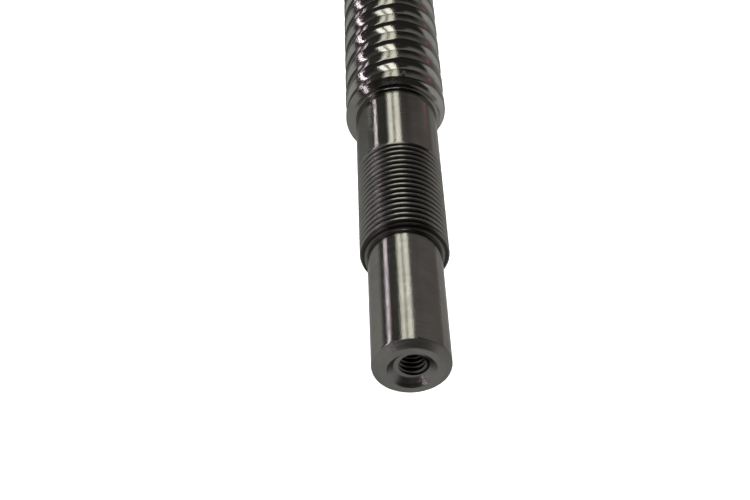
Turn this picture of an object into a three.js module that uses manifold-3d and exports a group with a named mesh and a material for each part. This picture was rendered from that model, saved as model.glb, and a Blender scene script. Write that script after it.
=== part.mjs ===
// Ball screw assembly: a 16 x 5 screw with a stepped fixed-side drive end, a flanged single nut
// with three internal-return ball circuits, its wipers and retaining rings, and a lubrication plug.
// Millimetres. The screw's axis is Y, with +Y from the drive end to the floating end and +Z up.
// The origin is on the axis at the screw's mid-length.

import * as THREE from 'three';
import { mergeVertices } from 'three/addons/utils/BufferGeometryUtils.js';
import Module from 'manifold-3d';

const wasm = await Module();
wasm.setup();

// ---- Driving dimensions ----
const LEAD = 5; // right-hand ball thread
const BALL_D = 3;
const BALL_CIRCLE_R = 8; // radius of the ball centres
const SCREW_R = 7.5; // over the lands of the ball thread
const GROOVE_CROSSES_TOP = 4.1; // distance from the drive end, modulo the lead

// Stations along the screw, measured from the drive end's face
const DRIVE_END = 20; // end of the drive journal
const LOCK_THREAD_END = 37; // end of the M12 x 1 lock nut thread
const SHOULDER = 50; // end of the bearing journal, start of the ball thread
const BALL_THREAD_END = 250;
const SCREW_LENGTH = 262;

const DRIVE_R = 5;
const BEARING_R = 6;
const FLOATING_R = 5;
const LOCK_THREAD_PITCH = 1;
const LOCK_THREAD_DEPTH = 0.61;
const LOCK_THREAD_START = 0.7; // a root crosses the top there, modulo the pitch
const END_CHAMFER = { along: 0.7, in: 1 };
const SHOULDER_CHAMFER = { along: 0.8, in: 0.8 };
const THREAD_CHAMFER = { along: 0.6, in: 0.3 };
const CIRCLIP_GROOVE = { from: 258.2, width: 1.1, depth: 0.2 };

// Threaded centre in the drive end, M4, and the plain centre in the floating end
const CENTRE = { mouthR: 3.15, coneDepth: 1.15, coreR: 1.65, rootR: 2, pitch: 0.7, threadTo: 10, drillTo: 14 };
const FAR_CENTRE = { mouthR: 2.65, drillR: 1.25, coneDepth: 2.4, drillTo: 6 };

// Nut
const NUT_FROM = 134; // station of the flange's free face with the nut at mid-travel
const FLANGE_TO = 144;
const NUT_TO = 179;
const BARREL_R = 14;
const PILOT_LENGTH = 10; // full-diameter stretch of the barrel next to the flange
const BARREL_RELIEF = 0.2;
const FLANGE_R = 24;
const FLAT_HEIGHT = 20; // the flange's two flats stand this far from the axis
const BOLT_HOLE_R = 2.75;
const BOLT_CIRCLE_R = 19;
const BOLT_ANGLES = [60, 90, 120, 240, 270, 300]; // degrees from the top
const WIPER_SEAT_R = 10.5;
const WIPER_SEAT_DEPTH = 7;
const RING_GROOVE_R = 11.3;
const RING_GROOVE = { from: 1, width: 1.4 }; // from the nut's end face
const NUT_LAND_R = 7.9;
const PORT_R = 2.5; // M6 lubrication port in the flange's upper flat
const PORT_FLOOR = 12.2;
const DUCT_R = 1.1;

// Ball circuits: one turn each, closed by a return deflector a third of a turn from the next
const CIRCUITS = 3;
const BALLS_PER_CIRCUIT = 16;
const FIRST_RETURN = 151.6; // station at the middle of the first deflector
const RETURN_HALF_ANGLE = 30; // degrees of screw that the crossover takes, each side of its middle
const RETURN_LIFT = 1.15; // how far the balls rise to pass over the land
const WINDOW_R = 3.1; // end radius of the obround window for a deflector
const DEFLECTOR_GAP = 0.2;
const CHANNEL_R = 1.85;

const WIPER = { from: 2.8, width: 4, outerR: 10.2 }; // from the nut's end face
const RING = { width: 0.9, innerR: 9.4, outerR: 11, gapHalfAngle: 0.28 };
const PLUG = { r: 2.3, length: 6, recess: 0.4, socketAcrossFlats: 3, socketDepth: 3 };

// ---- Facet counts ----
const SCREW_SIDES = 20;
const ROUND_SIDES = 48;
const HOLE_SIDES = 16;

const TAU = 2 * Math.PI;
// A polygon whose flats touch a circle has its corners this much further out
const OUTSIDE = 1 / Math.cos(Math.PI / SCREW_SIDES);

const steel = { color: 0x8c8a86, roughness: 0.3, metalness: 1 };
const MATERIALS = {
  screw: { color: 0x77736f, roughness: 0.28, metalness: 1 },
  nut: steel,
  ball: { color: 0xc9cbce, roughness: 0.08, metalness: 1 },
  spring: { color: 0x3b3a3c, roughness: 0.45, metalness: 1 },
  deflector: { color: 0x9a9893, roughness: 0.4, metalness: 1 },
  wiper: { color: 0x1f2a2e, roughness: 0.6, metalness: 0 },
  plug: { color: 0x2b2b2d, roughness: 0.5, metalness: 1 },
};

const assembly = new THREE.Group();
const bench = new THREE.Group(); // holds everything in stations from the drive end
bench.position.y = -SCREW_LENGTH / 2;
assembly.add(bench);

function addPiece(name, geometry, finish) {
  const piece = new THREE.Mesh(geometry, new THREE.MeshStandardMaterial(MATERIALS[finish]));
  piece.name = name;
  bench.add(piece);
  return piece;
}

// ---- Solids and booleans ----
function toSolid(geometry) {
  const bare = geometry.index ? geometry.clone() : geometry;
  bare.deleteAttribute('normal');
  bare.deleteAttribute('uv');
  const merged = mergeVertices(bare, 1e-5);
  return new wasm.Manifold(new wasm.Mesh({
    numProp: 3,
    vertProperties: Float32Array.from(merged.attributes.position.array),
    triVerts: Uint32Array.from(merged.index.array),
  }));
}

function toGeometry(solid) {
  const mesh = solid.getMesh();
  const geometry = new THREE.BufferGeometry();
  geometry.setAttribute('position', new THREE.BufferAttribute(Float32Array.from(mesh.vertProperties), 3));
  geometry.setIndex(new THREE.BufferAttribute(Uint32Array.from(mesh.triVerts), 1));
  return geometry;
}

// A round solid about Y from [radius, station] points that start and end on the axis or close on themselves
function turned(points, sides = ROUND_SIDES) {
  return new THREE.LatheGeometry(points.map(([r, s]) => new THREE.Vector2(r, s)), sides);
}

// A closed surface about Y swept column by column. columnAt(turn) lists [radius, station] points
// at that fraction of a turn from the top towards +X, and each column has the same number of points.
function sweptAboutAxis(columnAt, sides = SCREW_SIDES) {
  const places = [];
  const numbers = new Map();
  const cell = 1e-5;
  const vertexFor = (r, s, side) => {
    const angle = TAU * (side % sides) / sides;
    const place = [r * Math.sin(angle), s, r * Math.cos(angle)];
    const key = place.map((value) => Math.round(value / cell)).join();
    if (!numbers.has(key)) {
      numbers.set(key, places.length);
      places.push(place);
    }
    return numbers.get(key);
  };
  const columns = [];
  for (let side = 0; side <= sides; side += 1) {
    columns.push(columnAt(side / sides).map(([r, s]) => vertexFor(r, s, side)));
  }
  const triangles = [];
  const addTriangle = (a, b, c) => {
    if (a !== b && b !== c && c !== a) triangles.push(a, b, c);
  };
  for (let side = 0; side < sides; side += 1) {
    const near = columns[side];
    const next = columns[side + 1];
    for (let row = 0; row + 1 < near.length; row += 1) {
      addTriangle(near[row], next[row], near[row + 1]);
      addTriangle(next[row], next[row + 1], near[row + 1]);
    }
  }
  const geometry = new THREE.BufferGeometry();
  geometry.setAttribute('position', new THREE.Float32BufferAttribute(places.flat(), 3));
  geometry.setIndex(triangles);
  return geometry;
}

// One column of a helical form between two stations. form lists [offset, radius] corners over one pitch,
// counted from the helix's line, which crosses the top at the station start. limit caps the radius.
function helicalColumn({ from, to, pitch, start, form, turn, limit = () => Infinity }) {
  const radiusAt = (station) => {
    const first = form[0][0];
    const offset = first + THREE.MathUtils.euclideanModulo(station - start - pitch * turn - first, pitch);
    const wrapped = [...form, [form[0][0] + pitch, form[0][1]]];
    const after = wrapped.findIndex(([place]) => place >= offset - 1e-9);
    const [nextPlace, nextR] = wrapped[Math.max(after, 1)];
    const [lastPlace, lastR] = wrapped[Math.max(after, 1) - 1];
    return lastR + (nextR - lastR) * (offset - lastPlace) / (nextPlace - lastPlace);
  };
  const firstTurn = Math.floor((from - start) / pitch) - 2;
  const lastTurn = Math.ceil((to - start) / pitch) + 2;
  const column = [];
  for (let n = firstTurn; n <= lastTurn; n += 1) {
    for (const [offset, radius] of form) {
      const station = start + (n + turn) * pitch + offset;
      const clamped = THREE.MathUtils.clamp(station, from, to);
      const free = clamped === station ? radius : radiusAt(clamped);
      column.push([Math.min(free, limit(clamped)), clamped]);
    }
  }
  return column;
}

const ballTrack = { pitch: LEAD, start: GROOVE_CROSSES_TOP };
const lockHelix = { pitch: LOCK_THREAD_PITCH, start: LOCK_THREAD_START };

// ---- Screw ----
function screwShaft() {
  const groove = [[-1.6, SCREW_R], [-0.8, 6.3], [0.8, 6.3], [1.6, SCREW_R]];
  const shoulderFaceR = SCREW_R - SHOULDER_CHAMFER.in;
  const chamferEnd = SHOULDER + SHOULDER_CHAMFER.along;
  const shoulderSlope = SHOULDER_CHAMFER.in / SHOULDER_CHAMFER.along;
  const lockThread = [[0, BEARING_R - LOCK_THREAD_DEPTH], [LOCK_THREAD_PITCH / 2, BEARING_R]];
  const threadFaceR = BEARING_R - THREAD_CHAMFER.in;
  const threadSlope = THREAD_CHAMFER.in / THREAD_CHAMFER.along;
  const innerThread = [[0, CENTRE.coreR], [CENTRE.pitch / 2, CENTRE.rootR]];
  const clipEnd = CIRCLIP_GROOVE.from + CIRCLIP_GROOVE.width;
  const clipR = FLOATING_R - CIRCLIP_GROOVE.depth;

  return sweptAboutAxis((turn) => [
    [0, CENTRE.drillTo + 1],
    [CENTRE.coreR, CENTRE.drillTo],
    ...helicalColumn({
      from: CENTRE.coneDepth, to: CENTRE.threadTo, pitch: CENTRE.pitch, start: 0, form: innerThread, turn,
    }).reverse(),
    [CENTRE.rootR, CENTRE.coneDepth],
    [CENTRE.mouthR, 0],
    [DRIVE_R - END_CHAMFER.in, 0],
    [DRIVE_R, END_CHAMFER.along],
    [DRIVE_R, DRIVE_END],
    ...helicalColumn({
      ...lockHelix, from: DRIVE_END, to: DRIVE_END + THREAD_CHAMFER.along, form: lockThread, turn,
      limit: (station) => threadFaceR + threadSlope * (station - DRIVE_END),
    }),
    ...helicalColumn({
      ...lockHelix, from: DRIVE_END + THREAD_CHAMFER.along, to: LOCK_THREAD_END, form: lockThread, turn,
    }),
    [BEARING_R, LOCK_THREAD_END + LOCK_THREAD_PITCH / 2],
    [BEARING_R, SHOULDER],
    ...helicalColumn({
      ...ballTrack, from: SHOULDER, to: chamferEnd, form: groove, turn,
      limit: (station) => shoulderFaceR + shoulderSlope * (station - SHOULDER),
    }),
    ...helicalColumn({ ...ballTrack, from: chamferEnd, to: BALL_THREAD_END, form: groove, turn }),
    [FLOATING_R, BALL_THREAD_END],
    [FLOATING_R, CIRCLIP_GROOVE.from],
    [clipR, CIRCLIP_GROOVE.from],
    [clipR, clipEnd],
    [FLOATING_R, clipEnd],
    [FLOATING_R, SCREW_LENGTH - END_CHAMFER.along],
    [FLOATING_R - END_CHAMFER.in, SCREW_LENGTH],
    [FAR_CENTRE.mouthR, SCREW_LENGTH],
    [FAR_CENTRE.drillR, SCREW_LENGTH - FAR_CENTRE.coneDepth],
    [FAR_CENTRE.drillR, SCREW_LENGTH - FAR_CENTRE.drillTo],
    [0, SCREW_LENGTH - FAR_CENTRE.drillTo - 0.7],
  ]);
}

// ---- Ball circuits ----
const smooth = (t) => THREE.MathUtils.smoothstep(t, 0, 1);

// Middle of a circuit's deflector: its angle from the top and its station
function returnPlace(circuit) {
  const turn = circuit / CIRCUITS;
  return { angle: TAU * turn, station: FIRST_RETURN + circuit * LEAD * (1 + 1 / CIRCUITS) };
}

// A ball centre's place, counted in degrees of screw from the deflector's middle: the helix from the
// crossover's end round to its start, then the lifted S-shaped crossover back by one lead
function trackPoint(circuit, degrees) {
  const { angle, station } = returnPlace(circuit);
  const half = RETURN_HALF_ANGLE;
  const onHelix = station + LEAD * (degrees / 360 - 0.5);
  let s = onHelix;
  let r = BALL_CIRCLE_R;
  if (degrees > 360 - half) {
    const t = (degrees - 360 + half) / (2 * half);
    const leave = station + LEAD * ((360 - half) / 360 - 0.5);
    const arrive = station + LEAD * (half / 360 - 0.5);
    s = leave + (arrive - leave) * smooth(t);
    r += RETURN_LIFT * smooth(Math.min(t, 1 - t) / 0.3);
  }
  const about = angle + THREE.MathUtils.degToRad(degrees);
  return new THREE.Vector3(r * Math.sin(about), s, r * Math.cos(about));
}

// Ball centres of one circuit, evenly spaced along the closed track
function ballCentres(circuit) {
  const half = RETURN_HALF_ANGLE;
  const steps = 720;
  const points = [];
  for (let i = 0; i <= steps; i += 1) points.push(trackPoint(circuit, half + 360 * i / steps));
  const reach = [0];
  for (let i = 1; i <= steps; i += 1) reach.push(reach[i - 1] + points[i].distanceTo(points[i - 1]));
  const spacing = reach[steps] / BALLS_PER_CIRCUIT;
  const centres = [];
  for (let ball = 0; ball < BALLS_PER_CIRCUIT; ball += 1) {
    centres.push(points[reach.findIndex((length) => length >= ball * spacing)]);
  }
  return centres;
}

// ---- Return deflectors ----
// An obround prism along the radius through the deflector's middle, its long side on the crossover's diagonal
function obroundPrism(circuit, radius, fromR, toR) {
  const halfAngle = THREE.MathUtils.degToRad(RETURN_HALF_ANGLE);
  const across = BALL_CIRCLE_R * 1.15 * Math.sin(halfAngle);
  const along = LEAD * (0.5 - RETURN_HALF_ANGLE / 360);
  const halfLength = Math.hypot(across, along);
  const outline = new THREE.Shape();
  outline.absarc(halfLength, 0, radius, -Math.PI / 2, Math.PI / 2, false);
  outline.absarc(-halfLength, 0, radius, Math.PI / 2, 3 * Math.PI / 2, false);
  const prism = new THREE.ExtrudeGeometry(outline, {
    depth: toR - fromR, bevelEnabled: false, curveSegments: 7,
  });
  const { angle, station } = returnPlace(circuit);
  prism.translate(0, 0, fromR);
  prism.rotateZ(-Math.atan2(along, across));
  prism.rotateY(angle);
  prism.translate(0, station, 0);
  return prism;
}

// The ball channel of one deflector as a fat tube along the track
class CrossoverCurve extends THREE.Curve {
  constructor(circuit) {
    super();
    this.circuit = circuit;
  }

  getPoint(t, target = new THREE.Vector3()) {
    const reach = RETURN_HALF_ANGLE + 34;
    const degrees = 360 + reach * (2 * t - 1);
    if (degrees <= 360 + RETURN_HALF_ANGLE) return target.copy(trackPoint(this.circuit, degrees));
    return target.copy(trackPoint(this.circuit, degrees - 360));
  }
}

function channel(circuit) {
  const section = new THREE.Shape();
  section.absarc(0, 0, CHANNEL_R, 0, TAU, false);
  return new THREE.ExtrudeGeometry(section, {
    steps: 16, curveSegments: 5, bevelEnabled: false, extrudePath: new CrossoverCurve(circuit),
  });
}

function deflector(circuit) {
  const shell = turned([
    [BALL_CIRCLE_R + 0.4, NUT_FROM], [BARREL_R - BARREL_RELIEF - 0.1, NUT_FROM],
    [BARREL_R - BARREL_RELIEF - 0.1, NUT_TO], [BALL_CIRCLE_R + 0.4, NUT_TO],
    [BALL_CIRCLE_R + 0.4, NUT_FROM],
  ], 36);
  const block = toSolid(obroundPrism(circuit, WINDOW_R - DEFLECTOR_GAP, 5, BARREL_R + 2));
  return toGeometry(block.intersect(toSolid(shell)).subtract(toSolid(channel(circuit))));
}

// ---- Nut ----
function boreAndSeats() {
  const seatTo = NUT_FROM + WIPER_SEAT_DEPTH;
  const farSeatFrom = NUT_TO - WIPER_SEAT_DEPTH;
  const grooveTo = RING_GROOVE.from + RING_GROOVE.width;
  const track = [[-1.75, NUT_LAND_R], [-1, 9.75], [1, 9.75], [1.75, NUT_LAND_R]];
  const form = track.map(([offset, radius]) => [offset, radius * OUTSIDE]);
  const seat = WIPER_SEAT_R * OUTSIDE;
  const ringGroove = RING_GROOVE_R * OUTSIDE;
  const past = 1;
  return sweptAboutAxis((turn) => [
    [0, NUT_FROM - past],
    [seat, NUT_FROM - past],
    [seat, NUT_FROM + RING_GROOVE.from],
    [ringGroove, NUT_FROM + RING_GROOVE.from],
    [ringGroove, NUT_FROM + grooveTo],
    [seat, NUT_FROM + grooveTo],
    [seat, seatTo],
    ...helicalColumn({ ...ballTrack, from: seatTo, to: farSeatFrom, form, turn }),
    [seat, farSeatFrom],
    [seat, NUT_TO - grooveTo],
    [ringGroove, NUT_TO - grooveTo],
    [ringGroove, NUT_TO - RING_GROOVE.from],
    [seat, NUT_TO - RING_GROOVE.from],
    [seat, NUT_TO + past],
    [0, NUT_TO + past],
  ]);
}

// The flange's outline, a circle with an upper and a lower flat, seen along the axis
function flangeBlank() {
  const flatAngle = Math.acos(FLAT_HEIGHT / FLANGE_R);
  const outline = new THREE.Shape();
  const quarter = Math.PI / 2;
  outline.absarc(0, 0, FLANGE_R, -quarter + flatAngle, quarter - flatAngle, false);
  outline.absarc(0, 0, FLANGE_R, quarter + flatAngle, 3 * quarter - flatAngle, false);
  const blank = new THREE.ExtrudeGeometry(outline, {
    depth: FLANGE_TO - NUT_FROM - 0.8, curveSegments: 14,
    bevelThickness: 0.4, bevelSize: 0.4, bevelOffset: -0.4, bevelSegments: 1,
  });
  blank.translate(0, 0, 0.4);
  blank.rotateX(-quarter);
  blank.translate(0, NUT_FROM, 0);
  return blank;
}

// A rod between two points, for holes
function rod(from, to, radius, sides = HOLE_SIDES) {
  const axis = new THREE.Vector3().subVectors(to, from);
  const geometry = new THREE.CylinderGeometry(radius, radius, axis.length(), sides);
  geometry.applyQuaternion(new THREE.Quaternion().setFromUnitVectors(
    new THREE.Vector3(0, 1, 0),
    axis.clone().normalize(),
  ));
  const middle = new THREE.Vector3().addVectors(from, to).multiplyScalar(0.5);
  return geometry.translate(middle.x, middle.y, middle.z);
}

function nutBody() {
  const barrelR = BARREL_R - BARREL_RELIEF;
  const chamfer = 0.8;
  const barrel = turned([
    [0, FLANGE_TO - 2], [BARREL_R, FLANGE_TO - 2], [BARREL_R, FLANGE_TO + PILOT_LENGTH],
    [barrelR, FLANGE_TO + PILOT_LENGTH + 0.2], [barrelR, NUT_TO - chamfer], [barrelR - chamfer, NUT_TO],
    [0, NUT_TO],
  ]);
  let nut = toSolid(flangeBlank()).add(toSolid(barrel)).subtract(toSolid(boreAndSeats()));
  for (const degrees of BOLT_ANGLES) {
    const angle = THREE.MathUtils.degToRad(degrees);
    const x = BOLT_CIRCLE_R * Math.sin(angle);
    const z = BOLT_CIRCLE_R * Math.cos(angle);
    const hole = rod(new THREE.Vector3(x, NUT_FROM - 1, z), new THREE.Vector3(x, FLANGE_TO + 1, z), BOLT_HOLE_R);
    nut = nut.subtract(toSolid(hole));
  }
  for (let circuit = 0; circuit < CIRCUITS; circuit += 1) {
    nut = nut.subtract(toSolid(obroundPrism(circuit, WINDOW_R, 5, BARREL_R + 2)));
  }
  const flangeMiddle = (NUT_FROM + FLANGE_TO) / 2;
  const portTop = new THREE.Vector3(0, flangeMiddle, FLAT_HEIGHT + 1);
  const portFloor = new THREE.Vector3(0, flangeMiddle, PORT_FLOOR);
  const trackEntry = new THREE.Vector3(0, NUT_FROM + WIPER_SEAT_DEPTH + 2.6, 6.5);
  nut = nut.subtract(toSolid(rod(portTop, portFloor, PORT_R)));
  nut = nut.subtract(toSolid(rod(portFloor.clone().setZ(PORT_FLOOR + 0.8), trackEntry, DUCT_R, 8)));
  return toGeometry(nut);
}

// ---- Wipers and retaining rings ----
// A plastic ring whose lip reaches down into the groove of the screw
function wiper(from) {
  const form = [[-1.1, NUT_LAND_R], [-0.35, 6.95], [0.35, 6.95], [1.1, NUT_LAND_R]];
  const lip = form.map(([offset, radius]) => [offset, radius * OUTSIDE]);
  const to = from + WIPER.width;
  return sweptAboutAxis((turn) => [
    [WIPER.outerR, from],
    [WIPER.outerR, to],
    ...helicalColumn({ ...ballTrack, from, to, form: lip, turn }).reverse(),
    [WIPER.outerR, from],
  ]);
}

// A flat internal retaining ring, open at the bottom
function retainingRing(from) {
  const { innerR, outerR, gapHalfAngle, width } = RING;
  const bottom = -Math.PI / 2;
  const outline = new THREE.Shape();
  outline.absarc(0, 0, outerR, bottom + gapHalfAngle, bottom - gapHalfAngle + TAU, false);
  outline.absarc(0, 0, innerR, bottom - gapHalfAngle + TAU, bottom + gapHalfAngle, true);
  const ring = new THREE.ExtrudeGeometry(outline, { depth: width, curveSegments: 20, bevelEnabled: false });
  ring.rotateX(-Math.PI / 2);
  ring.rotateY(Math.PI);
  ring.translate(0, from, 0);
  return ring;
}

// ---- Lubrication plug: a socket set screw in the flange's port ----
function lubePlug() {
  const top = FLAT_HEIGHT - PLUG.recess;
  const middle = (NUT_FROM + FLANGE_TO) / 2;
  const at = (z) => new THREE.Vector3(0, middle, z);
  const body = rod(at(top), at(top - PLUG.length), PLUG.r);
  const hexR = PLUG.socketAcrossFlats / Math.sqrt(3);
  const socket = rod(at(top + 1), at(top - PLUG.socketDepth), hexR, 6);
  return toGeometry(toSolid(body).subtract(toSolid(socket)));
}

// ---- Assembly ----
addPiece('screw_shaft', screwShaft(), 'screw');
addPiece('nut_body', nutBody(), 'nut');

for (let circuit = 0; circuit < CIRCUITS; circuit += 1) {
  addPiece(`deflector_${circuit + 1}`, deflector(circuit), 'deflector');
  ballCentres(circuit).forEach((centre, index) => {
    const number = String(index + 1).padStart(2, '0');
    const ball = addPiece(`ball_${circuit + 1}_${number}`, new THREE.OctahedronGeometry(BALL_D / 2, 1), 'ball');
    ball.position.copy(centre);
  });
}

addPiece('wiper_flange_side', wiper(NUT_FROM + WIPER.from), 'wiper');
addPiece('wiper_barrel_side', wiper(NUT_TO - WIPER.from - WIPER.width), 'wiper');
const ringInset = RING_GROOVE.from + (RING_GROOVE.width - RING.width) / 2;
addPiece('retaining_ring_flange_side', retainingRing(NUT_FROM + ringInset), 'spring');
addPiece('retaining_ring_barrel_side', retainingRing(NUT_TO - ringInset - RING.width), 'spring');
addPiece('lube_plug', lubePlug(), 'plug');

export default assembly;
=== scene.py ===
"""Ball screw assembly: fine meshes, machined steel materials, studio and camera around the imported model.

Driving dimensions are in millimetres, and stations are distances along the screw from the face of its
drive end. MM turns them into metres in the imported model's frame, where the screw's axis is Y and the
top is +Z.
"""

import math

import bmesh
import bpy
import numpy as np
from mathutils import Matrix, Vector


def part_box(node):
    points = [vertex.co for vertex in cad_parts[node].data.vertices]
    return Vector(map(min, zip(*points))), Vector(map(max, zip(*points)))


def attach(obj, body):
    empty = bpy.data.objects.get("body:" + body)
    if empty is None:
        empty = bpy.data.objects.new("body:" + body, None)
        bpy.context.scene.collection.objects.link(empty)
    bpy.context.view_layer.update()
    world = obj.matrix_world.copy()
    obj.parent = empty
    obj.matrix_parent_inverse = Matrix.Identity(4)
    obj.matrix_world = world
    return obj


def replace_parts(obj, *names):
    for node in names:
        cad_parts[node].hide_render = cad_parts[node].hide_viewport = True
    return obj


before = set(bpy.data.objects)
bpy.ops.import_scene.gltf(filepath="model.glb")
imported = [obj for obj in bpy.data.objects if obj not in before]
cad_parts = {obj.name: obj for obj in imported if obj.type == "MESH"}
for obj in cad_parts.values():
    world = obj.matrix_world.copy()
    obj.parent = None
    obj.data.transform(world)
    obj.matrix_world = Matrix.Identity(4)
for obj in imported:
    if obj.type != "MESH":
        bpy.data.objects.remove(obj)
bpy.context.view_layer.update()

MM = 0.001
TAU = 2 * math.pi

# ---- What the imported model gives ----
screw_low, screw_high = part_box("screw_shaft")
nut_low, nut_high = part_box("nut_body")
DRIVE_FACE_Y = screw_low.y
SCREW_LENGTH = (screw_high.y - screw_low.y) / MM
SCREW_R = screw_high.z / MM
NUT_FROM = (nut_low.y - DRIVE_FACE_Y) / MM
NUT_TO = (nut_high.y - DRIVE_FACE_Y) / MM
FLANGE_R = nut_high.x / MM
FLAT_HEIGHT = nut_high.z / MM
FLOOR_Z = nut_low.z

# ---- Ball thread ----
LEAD = 5
BALL_R = 1.5
BALL_CIRCLE_R = 8
TRACK_R = 1.56  # radius of each flank of the gothic track
CONTACT_ANGLE = math.radians(45)
GROOVE_CROSSES_TOP = 4.1

# ---- Screw stations and radii ----
DRIVE_END = 20
LOCK_THREAD_END = 37
SHOULDER = 50
BALL_THREAD_END = 250
DRIVE_R = 5
BEARING_R = 6
FLOATING_R = 5
LOCK_PITCH = 1
LOCK_DEPTH = 0.61
LOCK_THREAD_START = 0.7
CENTRE_PITCH = 0.75
CENTRE_CORE_R = 1.68
CENTRE_ROOT_R = 2.25
CENTRE_MOUTH_R = 3.15
CENTRE_CONE_DEPTH = 0.9
CENTRE_THREAD_TO = 10
CENTRE_DRILL_R = 1.65
CENTRE_DRILL_TO = 14
CENTRE_DRILL_TIP = 15
CIRCLIP_GROOVE_FROM = BALL_THREAD_END + 8.2
CIRCLIP_GROOVE_TO = BALL_THREAD_END + 9.3
CIRCLIP_GROOVE_DEPTH = 0.2
SHOULDER_CHAMFER = 0.8
SHOULDER_FILLET = 0.12

# ---- Nut ----
FLANGE_TO = NUT_FROM + 10
BARREL_R = 14
BARREL_RELIEF = 0.2
PILOT_TO = FLANGE_TO + 10
WIPER_SEAT_R = 10.5
WIPER_SEAT_DEPTH = 7
RING_GROOVE_R = 11.3
RING_GROOVE_FROM = 1
RING_GROOVE_WIDTH = 1.4
NUT_LAND_R = 7.9
NUT_TRACK_R = 1.62
BOLT_HOLE_R = 2.75
BOLT_CIRCLE_R = 19
BOLT_ANGLES = (60, 90, 120, 240, 270, 300)
PORT_R = 2.5
PORT_FLOOR = 12.2
DUCT_R = 1.1

# ---- Balls and their returns ----
CIRCUITS = 3
BALLS_PER_CIRCUIT = 16
FIRST_RETURN = 151.6
RETURN_HALF_ANGLE = 30
RETURN_LIFT = 1.15
WINDOW_R = 3.1
DEFLECTOR_GAP = 0.2
CHANNEL_R = 1.85

# ---- Wipers, retaining rings and plug ----
WIPER_FROM = 2.8
WIPER_WIDTH = 4
WIPER_R = 10.2
RING_WIDTH = 0.9
RING_INNER_R = 9.4
RING_OUTER_R = 11
RING_GAP_HALF_ANGLE = 0.28
PLUG_R = 2.3
PLUG_LENGTH = 6
PLUG_RECESS = 0.4
SOCKET = 3
SOCKET_DEPTH = 3

# ---- How finely the skins are divided round the axis ----
SCREW_SIDES = 96
NUT_SIDES = 160

# ---- Surface texture, in features per metre ----
MARKS_ROUND_AXIS = 90
GRAIN_SCALE = 4500
BLOTCH_SCALE = 260
SCRATCH_SCALE = 90

# ---- Camera, from the middle of the drive face ----
CAMERA_PLACE = (-7.24, -101.65, 115.28)
CAMERA_PITCH = 46.92
CAMERA_YAW = -1.54
CAMERA_LENS = 60.65


# ---------------------------------------------------------------- materials
class Nodes:
    """Short calls for building one material's node tree"""

    def __init__(self, name):
        self.material = bpy.data.materials.new(name)
        self.material.use_nodes = True
        self.tree = self.material.node_tree
        self.shader = self.tree.nodes["Principled BSDF"]

    def add(self, kind, **settings):
        node = self.tree.nodes.new(kind)
        for key, value in settings.items():
            setattr(node, key, value)
        return node

    def link(self, output, socket):
        self.tree.links.new(output, socket)

    def maths(self, operation, first, second=None, third=None):
        node = self.add("ShaderNodeMath", operation=operation)
        for socket, value in zip(node.inputs, (first, second, third)):
            if value is None:
                continue
            if isinstance(value, (int, float)):
                socket.default_value = value
            else:
                self.link(value, socket)
        return node.outputs[0]

    def combine(self, x, y, z):
        node = self.add("ShaderNodeCombineXYZ")
        for socket, value in zip(node.inputs, (x, y, z)):
            if isinstance(value, (int, float)):
                socket.default_value = value
            else:
                self.link(value, socket)
        return node.outputs[0]

    def noise(self, vector, scale, detail=2.0, roughness=0.5):
        node = self.add("ShaderNodeTexNoise")
        self.link(vector, node.inputs["Vector"])
        node.inputs["Scale"].default_value = scale
        node.inputs["Detail"].default_value = detail
        node.inputs["Roughness"].default_value = roughness
        return node.outputs["Fac"]

    def spread(self, value, low, high, to_low, to_high):
        node = self.add("ShaderNodeMapRange")
        self.link(value, node.inputs["Value"])
        for name, number in (("From Min", low), ("From Max", high), ("To Min", to_low), ("To Max", to_high)):
            node.inputs[name].default_value = number
        return node.outputs["Result"]

    def mix(self, share, first, second):
        node = self.add("ShaderNodeMix", data_type="RGBA")
        self.link(share, node.inputs["Factor"])
        for socket, value in ((node.inputs["A"], first), (node.inputs["B"], second)):
            if isinstance(value, tuple):
                socket.default_value = (*value, 1)
            else:
                self.link(value, socket)
        return node.outputs["Result"]

    def bump(self, height, strength, distance, below=None):
        node = self.add("ShaderNodeBump")
        node.inputs["Strength"].default_value = strength
        node.inputs["Distance"].default_value = distance
        self.link(height, node.inputs["Height"])
        if below is not None:
            self.link(below, node.inputs["Normal"])
        return node.outputs["Normal"]


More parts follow.
